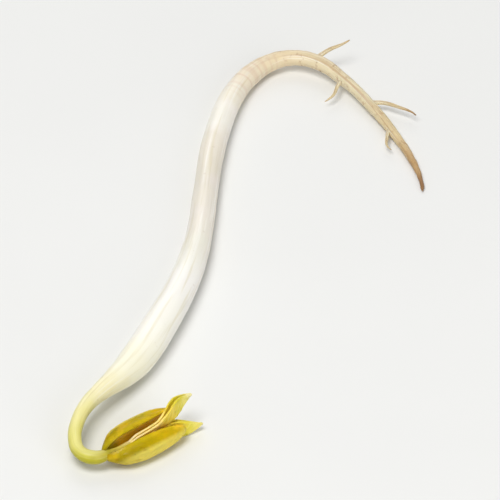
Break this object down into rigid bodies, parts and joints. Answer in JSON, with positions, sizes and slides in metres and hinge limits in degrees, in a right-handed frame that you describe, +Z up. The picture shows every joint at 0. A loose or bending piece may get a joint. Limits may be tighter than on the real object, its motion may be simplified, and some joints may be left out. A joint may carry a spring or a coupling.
{
  "type": "mung bean sprout",
  "caption": "Mung bean sprout lying on its side: juicy white stem, thin yellow hook, parted seed leaves with pointed first leaves, and a tapering root.",
  "frame": {"origin": "on the surface that the sprout lies on, under the middle of its box", "axes": "+Y along the stem from the hook towards the root, +X towards the side that the root bends to, +Z up"},
  "size_m": [0.0336, 0.0632, 0.0039],
  "materials": {
    "stem": "wet, slightly see-through white plant flesh, lime yellow at the hook, tan and brown along the root",
    "seed_leaf": "satin olive yellow bean flesh, cream inside the cleft",
    "first_leaf": "satin yellow leaf, lime at the tip, with fine veins"
  },
  "bodies": {
    "root": {"stem_and_root": "stem", "seed_leaf_far": "seed_leaf", "seed_leaf_near": "seed_leaf", "first_leaf_far": "first_leaf", "first_leaf_near": "first_leaf"}
  },
  "joints": []
}
